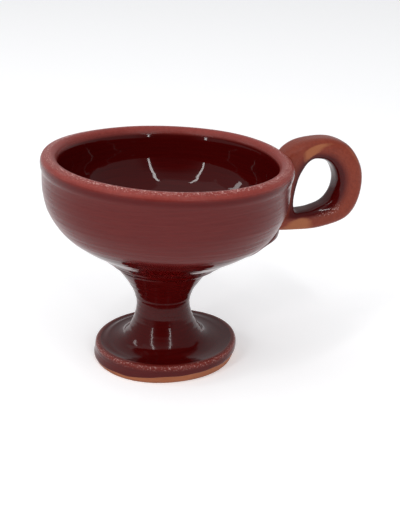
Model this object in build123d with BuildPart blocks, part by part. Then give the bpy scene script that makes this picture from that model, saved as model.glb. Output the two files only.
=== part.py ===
from build123d import *

import os
from math import atan2, cos, degrees, radians, sin

# A wheel-thrown, footed pottery chalice with one ring handle, glazed over red earthenware.
# Millimetres, +Z up, origin on the table under the middle of the foot, handle towards +X.

os.makedirs("parts", exist_ok=True)

# ---- Driving dimensions -------------------------------------------------------------------

glaze = 0.4  # thickness of every fired glaze coat

# foot and stem, thrown in one piece about the Z axis: pairs of radius and height
sole = (30.5, 0)  # where the foot meets the table
bevel_top = (32.4, 4.0)  # the bevel below this ring is left bare of glaze
foot_edge = (31.0, 8.5)  # crest of the foot's upper edge
foot_dish = (25.0, 7.9)  # lowest ring of the dished top face
flare = (16.7, 12.0)
waist = (11.9, 25.5)
neck = (15.2, 36.0)
hollow_mouth = (24.0, 0)  # the hollow turned out under the foot
hollow_dome = (7.0, 16.0)
hollow_top = (0, 20.0)

# the bowl sits on the stem a little off centre and leans towards the handle
seat_height = 44.0
seat_radius = 20.8
seat_shift = 0.43
bowl_lean = 3.05  # degrees

# bowl profile: pairs of radius and height above the seat, along the leaning axis
lip_round = 3.5  # the lip is a half-round bead, twice this thick
lip = (51.5, 47.0)  # centre of that bead
wall = (53.6, 36.0)
belly = (41.0, 14.0)
under_length = 11.6  # straight run of the underside, from the belly down towards the seat
cavity_wall = (47.4, 41.0)
basin_round = 24.0  # turn from the cavity's wall into its floor
cavity_floor = 14.2
liner_edge = 49.2  # radius on the lip where the liner glaze ends

# slip squeezed out of the seat when the bowl was luted to the stem
slip_round = 1.3

# ring handle: the outside and the finger hole are eccentric circles, drawn in the XZ plane
handle_width = 12.6
handle_edge_round = 3.6
ring_centre = (73.0, 75.6)
ring_radius = 21.0
ring_stretch = 0.7  # the outside bulges this far past a circle, away from the bowl
shoulder = (54.0, 90.8)  # the upper arm springs from the lip here
arm_end = 38.0  # X where both arms end, inside the bowl's wall
hole_centre = (69.5, 75.25)
hole_radius = 12.4
hole_back = (61.2, 81.0)  # the side of the finger hole towards the bowl
hole_waist = (58.9, 72.0)
hole_corner_round = 2.0
hole_top_round = 3.0
hole_back_round = 9.0

# clay wads smoothed round the two handle roots: centre in the XZ plane, and radius
upper_wad = (52.5, 79.5)
upper_wad_radius = 10.0
lower_wad = (37.5, 65.0)
lower_wad_radius = 15.5

# ---- Frames -------------------------------------------------------------------------------

lean = radians(bowl_lean)
# drawing plane through the bowl's own axis: local x is the radius, local y the height
bowl_plane = Plane(
    origin=(seat_shift, 0, seat_height),
    x_dir=(cos(lean), 0, -sin(lean)),
    z_dir=(0, -1, 0),
)
bowl_axis = Axis(bowl_plane.origin, bowl_plane.y_dir)
seat_plane = Plane(origin=bowl_plane.origin, z_dir=bowl_plane.y_dir)
beyond = 8.0  # sections run this far past their axis and seat, so that an offset spares both
lip_crest = lip[1] + lip_round
bowl_radius = lip[0] + lip_round
# the cavity's floor is part of a sphere that runs tangent into the basin's turn
basin_centre = (cavity_wall[0] - basin_round, cavity_wall[1])
basin_rise = basin_centre[1] - cavity_floor
floor_round = (basin_centre[0] ** 2 + basin_rise**2 - basin_round**2) / (basin_rise - basin_round) / 2
floor_turn = degrees(atan2(basin_centre[0], floor_round - basin_rise))

# ---- Sections -----------------------------------------------------------------------------


def bowl_outside(skin):
    """Section of the bowl's outside, filled solid up to the lip's crest, less a skin."""
    with BuildSketch() as section:
        with BuildLine():
            bead = CenterArc(lip, lip_round, 0, 90)
            TangentArc(wall, bead @ 0, tangent=(0, 1))
            side = TangentArc(wall, belly, tangent=(0, -1))
            underside = PolarLine(side @ 1, under_length, direction=side % 1)
            throat = TangentArc(underside @ 1, (seat_radius, 0), tangent=underside % 1)
            Polyline(
                throat @ 1,
                (seat_radius - beyond, -beyond),
                (-beyond, -beyond),
                (-beyond, lip_crest),
                bead @ 1,
            )
        make_face()
        if skin > 0:
            offset(amount=-skin, mode=Mode.REPLACE)
        Rectangle(bowl_radius, 2 * lip_crest, align=(Align.MIN, Align.MIN), mode=Mode.INTERSECT)
    return section.sketch


def bowl_cavity(skin):
    """Section of the space inside the bowl, grown by a skin."""
    with BuildSketch() as section:
        with BuildLine():
            bead = CenterArc(lip, lip_round, 90, 90)
            TangentArc(cavity_wall, bead @ 1, tangent=(0, 1))
            CenterArc(basin_centre, basin_round, floor_turn - 90, 90 - floor_turn)
            floor = CenterArc((0, cavity_floor + floor_round), floor_round, -90, floor_turn)
            Polyline(
                floor @ 0,
                (-beyond, cavity_floor),
                (-beyond, lip_crest + beyond),
                (lip[0], lip_crest + beyond),
                bead @ 0,
            )
        make_face()
        if skin > 0:
            offset(amount=skin, mode=Mode.REPLACE)
        Rectangle(bowl_radius, lip_crest, align=(Align.MIN, Align.MIN), mode=Mode.INTERSECT)
    return section.sketch


def stem_outside(skin):
    """Section of the foot and stem, filled solid and run past the seat, less a skin."""
    with BuildSketch() as section:
        with BuildLine():
            edge_round = bevel_top[0] - foot_edge[0]
            edge = CenterArc((foot_edge[0], foot_edge[1] - edge_round), edge_round, 0, 90)
            Polyline((-beyond, 0), (-beyond, -beyond), (sole[0], -beyond), sole, bevel_top, edge @ 0)
            waist_below = TangentArc(waist, flare, tangent=(0, -1))
            flare_below = TangentArc(waist_below @ 1, foot_dish, tangent=waist_below % 1)
            TangentArc(flare_below @ 1, edge @ 1, tangent=flare_below % 1)
            waist_above = TangentArc(waist, neck, tangent=(0, 1))
            Polyline(
                waist_above @ 1,
                (seat_radius, seat_height),
                (seat_radius + beyond, seat_height + beyond),
                (-beyond, seat_height + beyond),
                (-beyond, 0),
            )
        make_face()
        if skin > 0:
            offset(amount=-skin, mode=Mode.REPLACE)
        Rectangle(2 * sole[0], 2 * seat_height, align=(Align.MIN, Align.MIN), mode=Mode.INTERSECT)
    return section.sketch


def handle_ring(skin):
    """The ring handle with its arms run on into the bowl's wall, less a skin all round."""
    x, z = ring_centre
    with BuildPart() as ring:
        with BuildSketch(Plane.XZ):
            with BuildLine():
                outer_arc = CenterArc((x + ring_stretch, z), ring_radius, -90, 180)
                top = Line(outer_arc @ 1, (x - ring_stretch, z + ring_radius))
                shoulder_arc = TangentArc(top @ 1, shoulder, tangent=top % 1)
                Polyline(
                    shoulder_arc @ 1,
                    (arm_end, shoulder[1]),
                    (arm_end, z - ring_radius),
                    outer_arc @ 0,
                )
            make_face()
            if skin > 0:
                offset(amount=-skin, mode=Mode.REPLACE)
        extrude(amount=handle_width / 2 - skin, both=True)
        with BuildSketch(Plane.XZ):
            with BuildLine():
                hole_arc = CenterArc(hole_centre, hole_radius, -90, 180)
                corner = (hole_waist[0], (hole_arc @ 0).Y)
                Polyline(hole_arc @ 1, hole_back, hole_waist, corner, hole_arc @ 0)
            make_face()
            fillet(vertices().sort_by_distance(corner)[0], radius=hole_corner_round)
            fillet(vertices().sort_by_distance(hole_arc @ 1)[0], radius=hole_top_round)
            fillet(vertices().sort_by_distance(hole_back)[0], radius=hole_back_round)
            fillet(vertices().sort_by_distance(hole_waist)[0], radius=hole_back_round)
            if skin > 0:
                offset(amount=skin, mode=Mode.REPLACE)
        extrude(amount=handle_width, both=True, mode=Mode.SUBTRACT)
        fillet(faces().filter_by(Axis.Y).edges(), radius=handle_edge_round - skin)
    return ring.part


# ---- Whole forms that the pieces are cut from ---------------------------------------------


def bowl_filled(skin):
    """The bowl as a solid block with its cavity filled, less a skin."""
    with BuildPart() as block:
        with BuildSketch(bowl_plane):
            add(bowl_outside(skin))
        revolve(axis=bowl_axis)
    return block.part


def wad(centre, radius):
    """A clay wad pressed round a handle root: a ball cut away by the bowl and the handle."""
    with BuildPart() as ball:
        with Locations((centre[0], 0, centre[1])):
            Sphere(radius)
        add(bowl_filled(glaze), mode=Mode.SUBTRACT)
        add(handle_ring(glaze), mode=Mode.SUBTRACT)
    return ball.part


# ---- Thrown clay --------------------------------------------------------------------------

with BuildPart() as pedestal:
    with BuildSketch(Plane.XZ):
        add(stem_outside(glaze))
        with BuildSketch(mode=Mode.PRIVATE) as bare_foot:
            add(stem_outside(0))
            Rectangle(bevel_top[0], bevel_top[1], align=(Align.MIN, Align.MIN), mode=Mode.INTERSECT)
        add(bare_foot.sketch)
        with BuildLine():
            dome = TangentArc(hollow_top, hollow_dome, tangent=(1, 0))
            skirt = TangentArc(dome @ 1, hollow_mouth, tangent=dome % 1)
            Polyline(skirt @ 1, (0, 0), hollow_top)
        make_face(mode=Mode.SUBTRACT)
    revolve(axis=Axis.Z)
    split(bisect_by=seat_plane, keep=Keep.BOTTOM)
pedestal.part.label = "pedestal"
export_step(pedestal.part, "parts/pedestal.step")

with BuildPart() as bowl_body:
    with BuildSketch(bowl_plane):
        add(bowl_outside(glaze))
        add(bowl_cavity(glaze), mode=Mode.SUBTRACT)
    revolve(axis=bowl_axis)
bowl_body.part.label = "bowl_body"
export_step(bowl_body.part, "parts/bowl_body.step")

with BuildPart() as join_slip:
    with BuildSketch(bowl_plane):
        with Locations((seat_radius - glaze, 0)):
            Circle(slip_round)
    revolve(axis=bowl_axis)
    add(bowl_body.part, mode=Mode.SUBTRACT)
    add(pedestal.part, mode=Mode.SUBTRACT)
join_slip.part.label = "join_slip"
export_step(join_slip.part, "parts/join_slip.step")

# ---- Handle and its lutings ---------------------------------------------------------------

with BuildPart() as handle_strap:
    add(handle_ring(glaze))
    add(bowl_filled(glaze), mode=Mode.SUBTRACT)
handle_strap.part.label = "handle_strap"
export_step(handle_strap.part, "parts/handle_strap.step")

with BuildPart() as upper_luting:
    add(wad(upper_wad, upper_wad_radius))
upper_luting.part.label = "upper_luting"
export_step(upper_luting.part, "parts/upper_luting.step")

with BuildPart() as lower_luting:
    add(wad(lower_wad, lower_wad_radius))
lower_luting.part.label = "lower_luting"
export_step(lower_luting.part, "parts/lower_luting.step")

# ---- Fired glaze coats --------------------------------------------------------------------

with BuildPart() as liner_glaze:
    with BuildSketch(bowl_plane):
        add(bowl_cavity(glaze))
        add(bowl_cavity(0), mode=Mode.SUBTRACT)
        Rectangle(liner_edge, lip_crest, align=(Align.MIN, Align.MIN), mode=Mode.INTERSECT)
    revolve(axis=bowl_axis)
liner_glaze.part.label = "liner_glaze"
export_step(liner_glaze.part, "parts/liner_glaze.step")

with BuildPart() as bowl_glaze:
    with BuildSketch(bowl_plane):
        add(bowl_outside(0))
        add(bowl_outside(glaze), mode=Mode.SUBTRACT)
        with BuildSketch(mode=Mode.PRIVATE) as lined:
            add(bowl_cavity(glaze))
            Rectangle(liner_edge, lip_crest, align=(Align.MIN, Align.MIN), mode=Mode.INTERSECT)
        add(bowl_cavity(0), mode=Mode.SUBTRACT)
        add(lined.sketch, mode=Mode.SUBTRACT)
    revolve(axis=bowl_axis)
    add(handle_strap.part, mode=Mode.SUBTRACT)
    add(upper_luting.part, mode=Mode.SUBTRACT)
    add(lower_luting.part, mode=Mode.SUBTRACT)
    add(join_slip.part, mode=Mode.SUBTRACT)
bowl_glaze.part.label = "bowl_glaze"
export_step(bowl_glaze.part, "parts/bowl_glaze.step")

with BuildPart() as pedestal_glaze:
    with BuildSketch(Plane.XZ):
        add(stem_outside(0))
        add(stem_outside(glaze), mode=Mode.SUBTRACT)
        with Locations((0, bevel_top[1])):
            Rectangle(
                2 * sole[0], 2 * seat_height, align=(Align.MIN, Align.MIN), mode=Mode.INTERSECT
            )
    revolve(axis=Axis.Z)
    split(bisect_by=seat_plane, keep=Keep.BOTTOM)
    add(join_slip.part, mode=Mode.SUBTRACT)
pedestal_glaze.part.label = "pedestal_glaze"
export_step(pedestal_glaze.part, "parts/pedestal_glaze.step")

with BuildPart() as handle_glaze:
    add(handle_ring(0))
    add(handle_ring(glaze), mode=Mode.SUBTRACT)
    add(bowl_filled(0), mode=Mode.SUBTRACT)
    add(upper_luting.part, mode=Mode.SUBTRACT)
    add(lower_luting.part, mode=Mode.SUBTRACT)
handle_glaze.part.label = "handle_glaze"
export_step(handle_glaze.part, "parts/handle_glaze.step")
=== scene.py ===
import math

import bpy
import numpy as np
from mathutils import Matrix, Vector


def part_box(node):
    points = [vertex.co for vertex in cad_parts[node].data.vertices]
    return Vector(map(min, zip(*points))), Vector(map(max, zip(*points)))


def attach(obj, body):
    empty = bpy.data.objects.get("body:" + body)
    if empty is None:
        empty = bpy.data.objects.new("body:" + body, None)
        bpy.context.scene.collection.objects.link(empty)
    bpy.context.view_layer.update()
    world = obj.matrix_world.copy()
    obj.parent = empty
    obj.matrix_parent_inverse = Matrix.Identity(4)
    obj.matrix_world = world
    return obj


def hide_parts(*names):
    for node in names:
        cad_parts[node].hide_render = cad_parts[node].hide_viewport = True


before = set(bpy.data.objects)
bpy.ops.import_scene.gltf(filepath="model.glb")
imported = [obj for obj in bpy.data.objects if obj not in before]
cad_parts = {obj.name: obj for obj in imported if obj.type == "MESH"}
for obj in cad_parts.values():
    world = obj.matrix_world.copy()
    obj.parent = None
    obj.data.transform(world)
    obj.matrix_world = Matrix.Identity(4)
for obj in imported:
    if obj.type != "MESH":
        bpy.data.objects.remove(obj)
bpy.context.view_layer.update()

# A hand-thrown, footed pottery chalice with a ring handle, glazed oxblood red over red earthenware.
# Metres, +Z up, origin on the table under the middle of the foot, handle towards +X.

MM = 0.001
FULL_TURN = 2 * math.pi
HANDLE_HALF_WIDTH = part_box("handle_glaze")[1].y

SEAT_HEIGHT = 44.0 * MM  # where the cup was luted to the stem
SEAT_SHIFT = 0.43 * MM  # how far towards the handle the cup was set down
CUP_LEAN = math.radians(3.05)  # the cup leans towards the handle
CAMERA_TURN = math.radians(-15.0)  # the photographer stands this far round from the -Y side
IMAGE_RIGHT = np.array([math.cos(CAMERA_TURN), math.sin(CAMERA_TURN)])  # to the right in the photo

random = np.random.default_rng(7)


# ---- Camera -------------------------------------------------------------------------------


def make_camera():
    """The photographer's place, found by fitting the lip, the foot and the handle."""
    distance, height, lens = 439.12 * MM, 225.55 * MM, 74.27
    pitch, yaw, roll = math.radians(21.993), math.radians(-2.154), math.radians(0.468)
    turn = Matrix.Rotation(CAMERA_TURN, 4, "Z")
    tilt = Matrix.Rotation(math.pi / 2 - pitch, 4, "X") @ Matrix.Rotation(roll, 4, "Z")
    aim = Matrix.Rotation(yaw, 4, "Z") @ tilt
    data = bpy.data.cameras.new("camera")
    data.sensor_fit = "AUTO"
    data.sensor_width = 36.0
    data.lens = lens
    data.clip_start = 0.01
    camera = bpy.data.objects.new("camera", data)
    bpy.context.scene.collection.objects.link(camera)
    camera.matrix_world = turn @ Matrix.Translation((0, -distance, height)) @ aim
    bpy.context.scene.camera = camera


make_camera()
bpy.context.scene.view_settings.view_transform = "Standard"


# ---- Curves and noise ---------------------------------------------------------------------

STEPS_PER_KNOT = 60  # samples from one given point to the next, before they are respaced


def flowing(points, spacing, closed=False):
    """Points a steady spacing apart along a smooth (Catmull-Rom) curve through the given ones."""
    knots = np.array(points, float)
    if closed:
        knots = np.vstack([knots[-1], knots, knots[:2]])
    else:
        knots = np.vstack([2 * knots[0] - knots[1], knots, 2 * knots[-1] - knots[-2]])
    pieces = []
    for a, b, c, d in zip(knots, knots[1:], knots[2:], knots[3:]):
        u = np.linspace(0, 1, STEPS_PER_KNOT, endpoint=False)[:, None]
        square = (2 * a - 5 * b + 4 * c - d) * u**2
        cube = (3 * b - a - 3 * c + d) * u**3
        pieces.append((2 * b + (c - a) * u + square + cube) / 2)
    path = np.vstack(pieces + [knots[-2][None]])
    run = np.concatenate([[0], np.cumsum(np.linalg.norm(np.diff(path, axis=0), axis=1))])
    count = max(int(round(run[-1] / spacing)), 4)
    at = np.linspace(0, run[-1], count, endpoint=not closed)
    return np.stack([np.interp(at, run, path[:, k]) for k in range(path.shape[1])], axis=1)


def smoothstep(low, high, value):
    t = np.clip((value - low) / (high - low), 0, 1)
    return t * t * (3 - 2 * t)


def hump(value, centre, half_width):
    """1 at the centre, falling smoothly to 0 a half width away."""
    return smoothstep(1, 0, np.abs(value - centre) / half_width)


def ripple(theta, height, waves):
    """A sum of slow waves round and along a thrown wall, between about -1 and 1."""
    total = 0
    for turns, length, share in waves:
        phase = random.uniform(0, FULL_TURN)
        total = total + share * np.sin(turns * theta + FULL_TURN * height / length + phase)
    return total


# ---- Meshes -------------------------------------------------------------------------------


def grid_object(name, rows, marks, caps=()):
    """A smooth closed mesh over rows of points, where each row closes on itself.

    caps are the two points that close the first and the last row; without them the last row joins
    the first. marks are the values at the rows' points that the glaze reads by name.
    """
    count, around = rows.shape[:2]
    verts = [rows.reshape(-1, 3)]
    index = np.arange(count * around).reshape(count, around)
    upper = index[:-1] if caps else index
    lower = index[1:] if caps else np.roll(index, -1, axis=0)
    corners = [upper, np.roll(upper, -1, axis=1), np.roll(lower, -1, axis=1), lower]
    faces = [tuple(q) for q in np.stack(corners, axis=-1).reshape(-1, 4).tolist()]
    total = count * around
    for cap, ring, flip in zip(caps, (index[0], index[-1]), (True, False)):
        verts.append(np.array(cap, float)[None])
        for a, b in zip(ring.tolist(), np.roll(ring, -1).tolist()):
            faces.append((total, b, a) if flip else (a, b, total))
        total += 1
    mesh = bpy.data.meshes.new(name)
    mesh.from_pydata(np.vstack(verts).tolist(), [], faces)
    mesh.polygons.foreach_set("use_smooth", [True] * len(mesh.polygons))
    for mark, values in marks.items():
        layer = mesh.attributes.new(mark, "FLOAT", "POINT")
        flat = np.zeros(total, np.float32)
        flat[: count * around] = np.broadcast_to(values, (count, around)).reshape(-1)
        layer.data.foreach_set("value", flat)
    mesh.validate()
    mesh.update()
    piece = bpy.data.objects.new(name, mesh)
    bpy.context.scene.collection.objects.link(piece)
    return piece


def outline_parts(*parts):
    """One outline through (points, spacing) parts in millimetres, and the part of each point."""
    curves = []
    for points, spacing in parts:
        curve = flowing(np.array(points) * MM, spacing * MM)
        curves.append(curve[1:] if curves else curve)  # a part starts where the one before it ends
    part = np.concatenate([np.full(len(curve), k) for k, curve in enumerate(curves)])
    return np.vstack(curves), part


def outward(outline):
    """The outline's unit normal, in radius and in height."""
    along = np.gradient(outline, axis=0)
    along /= np.linalg.norm(along, axis=1, keepdims=True)
    return along[:, 1:], -along[:, :1]


def finish_piece(piece, material, slot, *nodes):
    """Gives a piece its material, hides the model's parts it stands for, and sets it to ride on the
    root.
    """
    piece.data.materials.append(material)
    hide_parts(*nodes)
    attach(piece, "root")


# ---- Cup ----------------------------------------------------------------------------------

# radius and height above the seat, along the cup's leaning axis, in millimetres
CUP_OUTSIDE = [
    (19.0, -1.6), (21.2, -0.3), (23.5, 1.6), (26.6, 4.0), (31.4, 7.2), (37.4, 10.9), (43.1, 15.0),
    (47.5, 19.3), (50.7, 24.5), (52.8, 29.6), (53.7, 35.0), (53.9, 40.0), (54.3, 43.8),
]
CUP_LIP = [
    (54.3, 43.8), (54.85, 45.6), (54.85, 47.6), (53.9, 49.6), (51.7, 50.45), (49.5, 49.7),
    (48.3, 47.8),
]
CUP_INSIDE = [
    (48.3, 47.8), (47.7, 45.4), (47.4, 41.0), (46.9, 36.0), (45.2, 31.0), (42.1, 26.0), (36.7, 21.0),
    (29.1, 17.7), (20.0, 15.8), (10.0, 14.6), (1.0, 14.2),
]
SEAT_LEVEL = CUP_OUTSIDE[0][1] * MM
CAVITY_FLOOR = CUP_INSIDE[-1][1] * MM
LIP_INNER_EDGE = CUP_INSIDE[0][1] * MM
AROUND = 320  # points in each ring of a thrown wall


def cup_point(radius, height, theta):
    """From the cup's own leaning axis to the shared frame; all in metres."""
    x = radius * np.cos(theta)
    return np.stack(
        [
            SEAT_SHIFT + x * math.cos(CUP_LEAN) + height * math.sin(CUP_LEAN),
            radius * np.sin(theta),
            SEAT_HEIGHT + height * math.cos(CUP_LEAN) - x * math.sin(CUP_LEAN),
        ],
        axis=-1,
    )


def sway(height):
    """The belly was pushed out to one side when the pot was lifted; a sideways shift in metres."""
    return (0.8 * hump(height, 15 * MM, 13 * MM) - 0.3 * smoothstep(30 * MM, 38 * MM, height)) * MM


def cup_outline():
    """Outline of the whole wall; its parts are the outside, the lip and the inside."""
    return outline_parts((CUP_OUTSIDE, 0.36), (CUP_LIP, 0.36), (CUP_INSIDE, 0.72))


# a bubble that burst in the glaze, front left
PIMPLE_TURN = math.radians(360 - 116.6)
PIMPLE_HEIGHT = 32 * MM
PIMPLE_SIZE = 0.7 * MM
WALL_RADIUS = 53 * MM


def outside_swell(theta, height):
    """How far the outside stands off its mean profile, in metres."""
    slow = ripple(theta, height, [(1, 90 * MM, 0.5), (2, 70 * MM, 0.35), (3, 50 * MM, 0.2)])
    lines = ripple(theta, height, [(0, 2.3 * MM, 0.5), (1, 3.7 * MM, 0.5), (0, 1.3 * MM, 0.35)])
    ledge = 0.55 * hump(height, 2.4 * MM, 1.3 * MM) + 0.35 * hump(height, 5.6 * MM, 1.2 * MM)
    off_pimple = ((theta - PIMPLE_TURN) * WALL_RADIUS) ** 2 + (height - PIMPLE_HEIGHT) ** 2
    pimple = np.exp(-off_pimple / PIMPLE_SIZE**2)
    return (0.16 * slow + 0.035 * lines + ledge + 0.5 * pimple) * MM


def make_cup(material):
    outline, part = cup_outline()
    theta = np.linspace(0, FULL_TURN, AROUND, endpoint=False)[None, :]
    radius, height = outline[:, :1], outline[:, 1:]
    outer, lip, inner = ((part == k)[:, None] for k in range(3))
    out_r, out_z = outward(outline)

    # throwing marks, outside and in; they die out towards the lip
    below_lip = 1 - smoothstep(41.3 * MM, 43.8 * MM, height)
    swell = np.where(outer, outside_swell(theta, height) * below_lip, 0.0)
    throws = [(1, 6.5 * MM, 0.6), (2, 9.0 * MM, 0.4), (1, 3.4 * MM, 0.2)]
    rings = ripple(theta, radius + height, throws)
    rings = rings * (0.25 + 0.75 * smoothstep(33 * MM, 24 * MM, height))
    fade = smoothstep(0, 6 * MM, np.abs(height - LIP_INNER_EDGE))
    swell = swell + np.where(inner, 0.05 * MM * rings * fade, 0.0)

    # the wall is fuller on the photo's left
    left = smoothstep(0.2, 1.0, -np.cos(theta - CAMERA_TURN)) * smoothstep(6 * MM, 16 * MM, height)
    on_wall = 1 - 0.3 * smoothstep(40 * MM, 43.8 * MM, height)
    over_lip = np.where(lip, 0.7 * smoothstep(52.5 * MM, 54.6 * MM, radius), on_wall)
    swell = swell + np.where(inner, 0.0, 0.8 * MM * left * over_lip)

    # the lip waves a little; it rises at the back right and dips at the back left
    upper = smoothstep(39 * MM, 45 * MM, height)
    lip_wave = ripple(theta, height * 0, [(2, 1, 0.5), (3, 1, 0.35), (5, 1, 0.15)])
    facing = (theta - CAMERA_TURN) % FULL_TURN
    back_right = hump(facing, math.radians(48), 0.95)
    back_left = hump(facing, math.radians(135), 0.8)
    rim_rise = 0.85 * back_right - 0.45 * back_left

    r = radius + out_r * swell
    z = height + out_z * swell + upper * MM * (0.16 * lip_wave + rim_rise)
    points = cup_point(r, z, theta)
    points[..., :2] += np.where(inner, 0.0, sway(height))[..., None] * IMAGE_RIGHT

    thin = smoothstep(46.2 * MM, 49.3 * MM, height)
    thin = thin * np.where(inner, smoothstep(46.6 * MM, 47.9 * MM, height), 1.0)
    satin = np.where(outer, smoothstep(14.5 * MM, 19 * MM, height), 1.0 * lip)
    # painted highlight: pale flecks of glint along the crest of the lip
    sparkle_highlight = np.where(height > 48.5 * MM, 1.5 * hump(radius, 52.4 * MM, 2.1 * MM), 0.0)
    line = np.where(inner, 0.0, hump(height, 46.3 * MM, 2.3 * MM))
    marks = {"sparkle_highlight": sparkle_highlight, "thin": thin, "bare": 0, "satin": satin, "line": line}
    caps = cup_point(0.0, SEAT_LEVEL, 0.0), cup_point(0.0, CAVITY_FLOOR, 0.0)
    cup = grid_object("cup", points, marks, caps)
    finish_piece(cup, material, "oxblood_glaze", "bowl_body", "bowl_glaze", "liner_glaze")


# ---- Pedestal -----------------------------------------------------------------------------

# radius and height in millimetres, from the top of the hollow, down, out and up to the seat
PEDESTAL_HOLLOW = [
    (0.8, 20.0), (4.2, 18.8), (7.2, 15.8), (10.0, 11.8), (14.0, 7.6), (19.0, 3.6), (23.4, 0.6),
    (24.6, 0.1),
]
PEDESTAL_SOLE = [(24.6, 0.1), (25.4, 0.0), (29.6, 0.0), (30.4, 0.15)]
PEDESTAL_SIDE = [
    (30.4, 0.15), (31.0, 1.0), (31.8, 2.9), (32.25, 4.6), (32.25, 6.4), (31.9, 7.7), (31.1, 8.35),
    (30.0, 8.4),
]
PEDESTAL_TOP = [
    (30.0, 8.4), (27.6, 8.0), (24.6, 7.9), (21.2, 8.5), (18.8, 9.7), (17.1, 11.6), (15.4, 14.2),
    (13.6, 18.0), (12.5, 22.0), (12.1, 25.8), (12.8, 29.6), (14.1, 33.0), (16.1, 36.4),
    (18.7, 40.2), (21.2, 43.6), (21.9, 45.0),
]
# the points that close the hollow and the top, which is inside the cup
HOLLOW_TIP = (0, 0, 20.1 * MM)
STEM_TIP = (SEAT_SHIFT, 0, 46.4 * MM)


def make_pedestal(material):
    outline, part = outline_parts(
        (PEDESTAL_HOLLOW, 0.8), (PEDESTAL_SOLE, 0.6), (PEDESTAL_SIDE, 0.16), (PEDESTAL_TOP, 0.34)
    )
    part = part[:, None]
    underneath, side = part < 2, part == 2
    theta = np.linspace(0, FULL_TURN, AROUND, endpoint=False)[None, :]
    radius, height = outline[:, :1], outline[:, 1:]
    out_r, out_z = outward(outline)
    shown = np.where(underneath, 0.0, 1.0)
    lines = ripple(theta, height, [(1, 3.1 * MM, 0.5), (2, 5.2 * MM, 0.35), (1, 1.7 * MM, 0.25)])
    slow = ripple(theta, height, [(1, 60 * MM, 0.3), (2, 45 * MM, 0.4), (3, 30 * MM, 0.2)])
    lifted = smoothstep(0.5 * MM, 4 * MM, height)
    swell = shown * (0.05 * lines + 0.13 * slow) * MM * lifted

    # the glaze stops at a wandering line: at the table on one side, above the bevel on the other
    bare_side = theta - (CAMERA_TURN - math.radians(38))
    edge = (2.0 + 1.9 * np.cos(bare_side)) * MM
    edge = edge + 0.35 * MM * ripple(theta, height * 0, [(5, 1, 0.5), (9, 1, 0.4), (17, 1, 0.25)])
    glazed_to = smoothstep(0.22 * MM, -0.22 * MM, height - edge)
    bare = np.where(underneath, 1.0, np.where(side, glazed_to, 0.0))
    swell = swell - 0.28 * MM * np.where(side, bare, 0.0)

    # the disc spreads at the photo's left and right, and its rim sags at the back left
    facing = theta - CAMERA_TURN
    left = smoothstep(-0.5, 0.8, -np.cos(facing))
    right = smoothstep(0.0, 0.9, np.cos(facing))
    back = smoothstep(-0.6, 0.9, np.sin(facing - math.radians(35)))
    disc_edge = smoothstep(27 * MM, 30 * MM, radius)
    spread = 2.0 * MM * left * disc_edge * smoothstep(5 * MM, 0.5 * MM, height)
    spread = spread + 0.6 * MM * right * disc_edge
    sag = 1.1 * MM * back * smoothstep(26 * MM, 29.5 * MM, radius)
    sag = sag * smoothstep(3 * MM, 8 * MM, height)

    # the waist stands a little to the photo's left, the disc a little to its right
    to_right = -0.2 * MM * hump(height, 26 * MM, 16 * MM)
    to_right = to_right + 0.6 * MM * smoothstep(20 * MM, 28 * MM, radius)
    to_seat = SEAT_SHIFT * smoothstep(30 * MM, 44 * MM, height)
    r = radius + out_r * swell + spread
    x = r * np.cos(theta) + to_right * IMAGE_RIGHT[0] + to_seat
    y = r * np.sin(theta) + to_right * IMAGE_RIGHT[1]
    z = height + out_z * swell * lifted - sag
    points = np.stack([x, y, z], axis=-1)

    crest = hump(radius, 31.7 * MM, 1.3 * MM) * smoothstep(5.6 * MM, 7.6 * MM, height) * shown
    upper_side = np.where(side, 0.45 * smoothstep(6.8 * MM, 7.8 * MM, height), 0.0)
    thin = 0.75 * np.maximum(crest, upper_side)
    satin = np.where(side, 0.35, 0.0)
    # the foot's crest also carries painted sparkle highlights, at 0.55 of its crest
    marks = {"sparkle_highlight": 0.55 * crest, "thin": thin, "bare": bare, "satin": satin, "line": 0}
    pedestal = grid_object("pedestal_thrown", points, marks, (HOLLOW_TIP, STEM_TIP))
    finish_piece(pedestal, material, "oxblood_glaze", "pedestal", "pedestal_glaze")


# ---- Handle -------------------------------------------------------------------------------

# matching points round the finger hole and round the outside, X and Z in millimetres; the outside
# runs inside the cup's wall on the side towards the cup
FINGER_HOLE = [
    (70.3, 88.4), (75.6, 87.2), (79.6, 83.2), (81.3, 77.4), (80.1, 71.4), (76.3, 67.0), (70.6, 64.8),
    (65.0, 64.1), (61.6, 64.2), (60.9, 67.2), (61.4, 72.6), (62.9, 79.2), (64.6, 83.8), (67.0, 87.0),
]
RING_OUTSIDE = [
    (71.0, 97.8), (80.2, 96.8), (88.3, 91.7), (93.7, 81.2), (93.2, 68.5), (87.5, 59.3), (75.5, 55.5),
    (63.0, 55.1), (47.0, 57.4), (51.5, 64.5), (53.2, 71.0), (53.6, 79.5), (54.2, 90.2), (60.6, 95.9),
]
# half of the strap's width at each of those points, as a share of the widest
STRAP_WIDTH = [0.98, 0.97, 0.98, 1.0, 1.0, 0.97, 0.93, 0.93, 1.02, 0.80, 0.70, 0.78, 1.06, 1.04]
STRAP_SQUARENESS = 2 / 3.4  # 1 would make the strap's section an ellipse, 0 a rectangle


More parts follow.
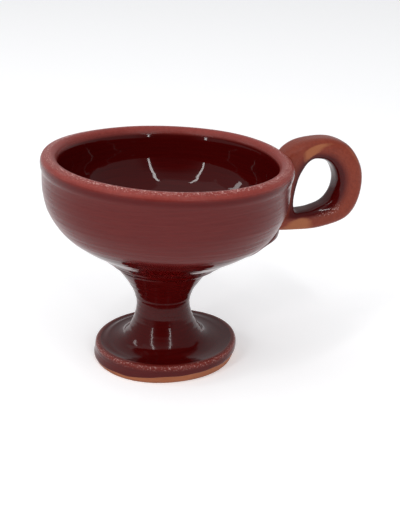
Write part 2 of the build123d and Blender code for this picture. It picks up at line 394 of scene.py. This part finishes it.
def make_handle(material):
    half_widths = np.array(STRAP_WIDTH)[:, None] * HANDLE_HALF_WIDTH
    both = np.hstack([np.array(FINGER_HOLE) * MM, np.array(RING_OUTSIDE) * MM, half_widths])
    path = flowing(both, 0.55 * MM, closed=True)
    inner, outer, half_width = path[:, :2], path[:, 2:4], path[:, 4]
    middle = (inner + outer) / 2
    half = (outer - inner) / 2

    # station runs round the ring in radians, clockwise in the photo: 0 at the top, pi at the lower
    # root. turn runs round the strap's own section, backwards, so that the faces look outward;
    # across is 1 on the ring's outside and -1 in the finger hole, sideways is -1 on the front
    station = np.linspace(0, FULL_TURN, len(path), endpoint=False)[:, None]
    turn = np.linspace(FULL_TURN, 0, 120, endpoint=False)[None, :]
    c, s = np.cos(turn), np.sin(turn)
    across = np.sign(c) * np.abs(c) ** STRAP_SQUARENESS
    sideways = np.sign(s) * np.abs(s) ** STRAP_SQUARENESS
    waves = [(3, FULL_TURN / 2, 0.5), (5, FULL_TURN / 3, 0.35), (8, FULL_TURN, 0.3)]
    dents = 1 + 0.022 * ripple(station, turn, waves)
    x = middle[:, :1] + half[:, :1] * across * dents
    z = middle[:, 1:] + half[:, 1:] * across * dents
    y = half_width[:, None] * sideways * (2 - dents)
    points = np.stack([x, y, z], axis=-1)

    # glaze worn through to the clay along the upper front edge and by the lower root
    past_top = (station + math.pi) % FULL_TURN - math.pi
    stripe_middle = math.radians(280) + 0.5 * np.clip(past_top / 0.6, -1, 1)
    stripe = hump(turn, stripe_middle, 0.48)
    worn = stripe * (1.3 * hump(past_top, -0.15, 0.7) + 0.55 * hump(past_top, 0.9, 0.8))
    lower_patch = hump(station, 3.42, 0.62) * smoothstep(0.35, 0.9, -sideways)
    lower_patch = lower_patch * smoothstep(-0.8, 0.0, across)
    bare = np.clip(0.9 * worn + 1.1 * lower_patch, 0, 1)

    inside_face = smoothstep(0.05, -0.8, across)
    thin = np.clip(0.8 - 0.95 * inside_face, 0, 1)
    satin = 0.6 * (1 - inside_face)
    # painted highlight: a glint on the front face near the finger hole, partway down to the lower
    # root
    front_edge = hump(across, -0.35, 0.4) * smoothstep(0.5, 0.9, -sideways)
    sparkle_highlight = 0.7 * front_edge * hump(station, 2.5, 0.6)
    marks = {"sparkle_highlight": sparkle_highlight, "thin": thin, "bare": bare, "satin": satin, "line": 0}
    handle = grid_object("ring_handle", points, marks)
    finish_piece(handle, material, "oxblood_glaze", "handle_strap", "handle_glaze")


# ---- Clay worked round the handle roots, and the slip at the seat ----------------------------

# the clay's edge on the cup's outside: sideways and height above the seat, in millimetres
UPPER_PAD = [
    (-12.0, 46.0), (0, 48.9), (10.5, 46.5), (9.5, 40.0), (7.6, 33.0), (0, 30.0), (-8.2, 33.0),
    (-10.5, 40.0),
]
LOWER_PAD = [
    (-19.0, 18.0), (-5, 22.5), (12.5, 19.5), (11.5, 13.0), (5.0, 6.6), (-5.0, 2.4), (-14.0, 2.6),
    (-19.0, 9.0),
]
PAD_DEPTH = 2.2 * MM  # how far a pad's hidden underside runs into the wall
PAD_SINK = 0.25 * MM  # how far its edge is pressed in
PAD_WAVE = 260  # radians in a metre sideways: a lump about every 24 mm


def outside_radius(height):
    """The cup's radius at a height above the seat, up to the top of the lip."""
    outline, part = cup_outline()
    outer = outline[part < 2]
    top = int(np.argmax(outer[:, 1]))
    return np.interp(height, outer[:top, 1], outer[:top, 0])


def make_pad(name, material, node, boundary, thickness, feather, thin, sparkle_highlight):
    """Clay smeared on the cup's outside, thickest in the middle; thickness is in millimetres."""
    rim = flowing(np.array(boundary) * MM, 0.6 * MM, closed=True)
    middle = rim.mean(axis=0)
    steps = np.linspace(0.03, 1, 30)[:, None, None]
    plan = middle + (rim - middle)[None] * steps
    sideways, height = plan[..., 0], plan[..., 1]
    lift = thickness * MM * (1 - steps[..., 0] ** feather) ** 0.6
    lumps = ripple(sideways * PAD_WAVE, height, [(1, 7 * MM, 0.6), (2, 11 * MM, 0.4)])
    wall = outside_radius(height)
    shift = sway(height)[..., None] * np.append(IMAGE_RIGHT, 0)

    def laid(stand):
        radius = wall + stand - PAD_SINK
        return cup_point(radius, height - 0.35 * stand, sideways / wall) + shift

    top, under = laid(lift * (1 + 0.14 * lumps)), laid(-PAD_DEPTH)
    rows = np.vstack([top, under[::-1]])
    marks = {"sparkle_highlight": sparkle_highlight, "thin": thin, "bare": 0, "satin": 0.3, "line": 0}
    caps = top[0].mean(axis=0), under[0].mean(axis=0)
    finish_piece(grid_object(name, rows, marks, caps), material, "oxblood_glaze", node)


def make_slip(material):
    """The bead of slip squeezed out of the seat, uneven as a finger left it."""
    theta = np.linspace(0, FULL_TURN, 260, endpoint=False)[None, :]
    turn = np.linspace(0, FULL_TURN, 18, endpoint=False)[:, None]
    fat = (1.0 + 0.22 * ripple(theta, turn * 0, [(2, 1, 0.5), (5, 1, 0.3), (9, 1, 0.2)])) * MM
    radius = 20.5 * MM + fat * np.cos(turn)
    height = 0.15 * MM + 0.75 * fat * np.sin(turn)
    points = cup_point(radius, height, theta + 0 * turn)
    marks = {"sparkle_highlight": 0, "thin": 0.1, "bare": 0, "satin": 0, "line": 0}
    finish_piece(grid_object("slip_bead", points, marks), material, "oxblood_glaze", "join_slip")


# ---- Materials ----------------------------------------------------------------------------


class Tree:
    """A short way to add and join shader nodes."""

    def __init__(self, name):
        self.material = bpy.data.materials.new(name)
        self.material.use_nodes = True
        self.nodes = self.material.node_tree.nodes
        self.links = self.material.node_tree.links
        self.shader = self.nodes["Principled BSDF"]

    def add(self, kind, settings=(), **sockets):
        """A new node. A socket is given by its name, or as i0, i1 and so on by its place."""
        node = self.nodes.new(kind)
        for key, value in dict(settings).items():
            setattr(node, key, value)
        for key, value in sockets.items():
            by_place = key[0] == "i" and key[1:].isdigit()
            socket = node.inputs[int(key[1:]) if by_place else key]
            if isinstance(value, bpy.types.NodeSocket):
                self.links.new(value, socket)
            else:
                socket.default_value = value
        return node

    def maths(self, operation, a, b=0.0, c=0.0, clamp=False):
        settings = {"operation": operation, "use_clamp": clamp}
        return self.add("ShaderNodeMath", settings, i0=a, i1=b, i2=c).outputs[0]

    def times(self, a, b, clamp=False):
        return self.maths("MULTIPLY", a, b, clamp=clamp)

    def mix(self, share, a, b):
        """A colour between a and b."""
        node = self.add("ShaderNodeMix", {"data_type": "RGBA"}, i0=share, i6=a, i7=b)
        return node.outputs[2]

    def blend(self, share, a, b):
        """A number between a and b."""
        node = self.add("ShaderNodeMix", {"data_type": "FLOAT"}, i0=share, i2=a, i3=b)
        return node.outputs[0]

    def mark(self, name):
        """The value that the mesh carries at its points under this name."""
        return self.add("ShaderNodeAttribute", {"attribute_name": name}).outputs["Fac"]

    def noise(self, vector, scale, detail, roughness):
        sockets = {"Vector": vector, "Scale": scale, "Detail": detail, "Roughness": roughness}
        return self.add("ShaderNodeTexNoise", **sockets).outputs["Fac"]

    def shade(self, socket, value):
        """Links a node's output to one of the shader's sockets, or sets a plain value there."""
        if isinstance(value, bpy.types.NodeSocket):
            self.links.new(value, self.shader.inputs[socket])
        else:
            self.shader.inputs[socket].default_value = value


# The meshes carry marks that the glaze reads. thin: the glaze is thin and brick coloured. bare: it
# is worn or wiped off the clay. satin: it is the wall's duller coat. line: it is the dark red band
# under the lip. The sparkle mark: pale pink flecks, painted highlights that stand for light glinting
# on the glaze. The rest is deep red and glossy.
DEEP_RED = (0.038, 0.0008, 0.0009, 1), (0.080, 0.0022, 0.0020, 1)
WALL_RED = (0.085, 0.0080, 0.0085, 1), (0.135, 0.0170, 0.0150, 1)
LINE_RED = (0.085, 0.0035, 0.0035, 1)
# pale pink for painted sparkle highlights, glints of the lamps on the glaze
SPARKLE_HIGHLIGHT_PINK = (0.80, 0.50, 0.46, 1)
CLAY_ORANGE = (0.27, 0.082, 0.032, 1), (0.44, 0.160, 0.072, 1)
CLAY_GROG = (0.24, 0.060, 0.026, 1)
SATIN_ROUGH, THIN_ROUGH, LINE_ROUGH, BARE_ROUGH = 0.235, 0.33, 0.14, 0.62


def make_glaze(name, brush_lines, thick_rough, brick_dark, brick_pale):
    """Oxblood glaze over clay. thick_rough is the roughness of the thick, glossy coat.

    brush_lines is how deep the wall's brush lines are; the brick colours show where it is thin.
    """
    t = Tree(name)
    # streaks are brush lines round the pot; grain and speckle are finer than a millimetre
    place = t.add("ShaderNodeTexCoord").outputs["Object"]
    stretched = t.add("ShaderNodeMapping", Vector=place, Scale=(1.0, 1.0, 26.0)).outputs[0]
    clouds = t.noise(place, 55.0, 4.0, 0.55)
    streaks = t.noise(stretched, 60.0, 4.0, 0.6)
    grain = t.noise(place, 900.0, 3.0, 0.6)
    speckle = t.noise(place, 1700.0, 2.0, 0.6)

    # thin in patches; bare clay has a grainy edge
    patchy = t.maths("MULTIPLY_ADD", clouds, 0.7, -0.35)
    thin = t.maths("ADD", t.mark("thin"), t.times(patchy, t.mark("thin")), clamp=True)
    bare_edge = t.maths("MULTIPLY_ADD", grain, 0.5, -0.25)
    bare_raw = t.maths("ADD", t.mark("bare"), t.times(bare_edge, t.mark("bare")))
    bare = t.maths("MULTIPLY_ADD", bare_raw, 2.2, -0.75, clamp=True)

    coat = t.mix(t.mark("satin"), t.mix(streaks, *DEEP_RED), t.mix(streaks, *WALL_RED))
    coat = t.mix(thin, coat, t.mix(grain, brick_dark, brick_pale))
    coat = t.mix(t.mark("line"), coat, LINE_RED)
    # painted highlights: pale pink flecks wherever the sparkle mark is set
    highlight_flecks = t.maths("MULTIPLY_ADD", speckle, 8.0, -4.5, clamp=True)
    coat = t.mix(t.times(highlight_flecks, t.mark("sparkle_highlight"), clamp=True), coat, SPARKLE_HIGHLIGHT_PINK)
    clay = t.mix(t.times(grain, 0.35), t.mix(clouds, *CLAY_ORANGE), CLAY_GROG)
    t.shade("Base Color", t.mix(bare, coat, clay))

    rough = t.blend(t.mark("satin"), thick_rough, SATIN_ROUGH)
    rough = t.blend(thin, rough, THIN_ROUGH)
    rough = t.blend(t.mark("line"), rough, LINE_ROUGH)
    rough = t.blend(bare, rough, BARE_ROUGH)
    rubbed = t.times(t.maths("MULTIPLY_ADD", clouds, 0.10, -0.05), t.mark("satin"))
    t.shade("Roughness", t.maths("ADD", rough, rubbed, clamp=True))
    t.shade("IOR", 1.28)

    # relief: brush lines on the wall, pits and sparkle where it is thin, orange peel all over
    lines = t.times(streaks, t.times(t.mark("satin"), brush_lines))
    pits = t.times(t.times(grain, 0.5), t.maths("MAXIMUM", thin, bare))
    sparkle = t.times(t.times(speckle, 2.2), thin)
    orange_peel = t.times(t.noise(place, 160.0, 2.0, 0.5), 0.35)
    relief = t.maths("ADD", t.maths("ADD", lines, pits), t.maths("ADD", sparkle, orange_peel))
    bump = t.add("ShaderNodeBump", Strength=0.5, Distance=0.16 * MM, Height=relief)
    t.shade("Normal", bump.outputs[0])
    return t.material


# ---- Floor and light ------------------------------------------------------------------------

FLOOR_REACH = 4.0
LIGHTS_AIM = Vector((0.01, 0, 0.06))  # about the middle of the cup


def direction(heading, rise):
    """A unit vector from a heading round Z and a rise above the floor."""
    flat = math.cos(rise)
    return Vector((flat * math.cos(heading), flat * math.sin(heading), math.sin(rise)))


def make_floor():
    """White paper that glows a little, so that it comes out nearly white, as in the photo."""
    mesh = bpy.data.meshes.new("floor")
    corners = [(x * FLOOR_REACH, y * FLOOR_REACH, 0) for x, y in ((-1, -1), (1, -1), (1, 1), (-1, 1))]
    mesh.from_pydata(corners, [], [(0, 1, 2, 3)])
    floor = bpy.data.objects.new("floor", mesh)
    bpy.context.scene.collection.objects.link(floor)
    t = Tree("paper")
    t.shade("Base Color", (0.92, 0.92, 0.925, 1))
    t.shade("Roughness", 0.8)
    t.shade("Specular IOR Level", 0.1)
    t.shade("Emission Color", (1, 1, 1, 1))
    t.shade("Emission Strength", 0.24)
    floor.data.materials.append(t.material)
    floor.location.z = -0.1 * MM


def make_light(name, turn, rise, distance, size, power):
    """A panel light. turn is its direction from the chalice, 0 straight away from the camera."""
    heading = math.pi / 2 + CAMERA_TURN - math.radians(turn)
    way = direction(heading, math.radians(rise))
    data = bpy.data.lights.new(name, "AREA")
    data.shape = "RECTANGLE"
    data.size, data.size_y = size
    data.energy = power
    light = bpy.data.objects.new(name, data)
    bpy.context.scene.collection.objects.link(light)
    light.location = LIGHTS_AIM + way * distance
    light.rotation_euler = (-way).to_track_quat("-Z", "Y").to_euler()


def make_world():
    """Pale surroundings with one dark patch: the unlit room behind the photographer."""
    world = bpy.data.worlds.new("studio")
    bpy.context.scene.world = world
    world.use_nodes = True
    nodes, links = world.node_tree.nodes, world.node_tree.links
    place = nodes.new("ShaderNodeTexCoord")
    toward = nodes.new("ShaderNodeVectorMath")
    toward.operation = "DOT_PRODUCT"
    behind_camera = CAMERA_TURN - math.pi / 2 - math.radians(4)
    toward.inputs[1].default_value = direction(behind_camera, math.radians(10))
    patch = nodes.new("ShaderNodeMapRange")
    patch.interpolation_type = "SMOOTHSTEP"
    # pale beyond 46 degrees from the patch's middle, dark within 15
    patch.inputs["From Min"].default_value = math.cos(math.radians(46))
    patch.inputs["From Max"].default_value = math.cos(math.radians(15))
    patch.inputs["To Min"].default_value = 0.58
    patch.inputs["To Max"].default_value = 0.05
    links.new(place.outputs["Generated"], toward.inputs[0])
    links.new(toward.outputs["Value"], patch.inputs["Value"])
    back = nodes["Background"]
    back.inputs[0].default_value = (0.97, 0.98, 1.0, 1)
    links.new(patch.outputs["Result"], back.inputs[1])


make_floor()
make_world()
# turn and rise in degrees, distance and size in metres, power in watts
make_light("window_left", -139, 38, 1.1, (0.045, 1.15), 3.6)
make_light("window_right", 157, 38, 1.1, (0.045, 1.15), 3.6)
make_light("window_side", -82, 34, 1.2, (0.12, 0.40), 1.4)
make_light("ceiling", -75, 76, 1.5, (1.90, 1.70), 4.6)

CUP_BRICK = (0.170, 0.019, 0.015, 1), (0.310, 0.054, 0.042, 1)
FOOT_BRICK = (0.130, 0.013, 0.009, 1), (0.240, 0.036, 0.024, 1)
HANDLE_BRICK = (0.165, 0.021, 0.010, 1), (0.290, 0.056, 0.026, 1)
cup_glaze = make_glaze("cup_glaze", 1.0, 0.045, *CUP_BRICK)
foot_glaze = make_glaze("foot_glaze", 0.5, 0.13, *FOOT_BRICK)
handle_glaze = make_glaze("handle_glaze", 0.3, 0.060, *HANDLE_BRICK)
make_cup(cup_glaze)
make_pedestal(foot_glaze)
make_slip(foot_glaze)
make_handle(handle_glaze)
# the upper pad's last number paints pale sparkle highlights on it
make_pad("upper_luting_clay", handle_glaze, "upper_luting", UPPER_PAD, 2.6, 2.8, 0.6, 0.12)
# the lower pad gets almost no thin brick glaze, so it comes out deep red and dark: painted shade for
# the cup's shadowed side
make_pad("lower_luting_clay", handle_glaze, "lower_luting", LOWER_PAD, 5.2, 2.4, 0.05, 0.0)
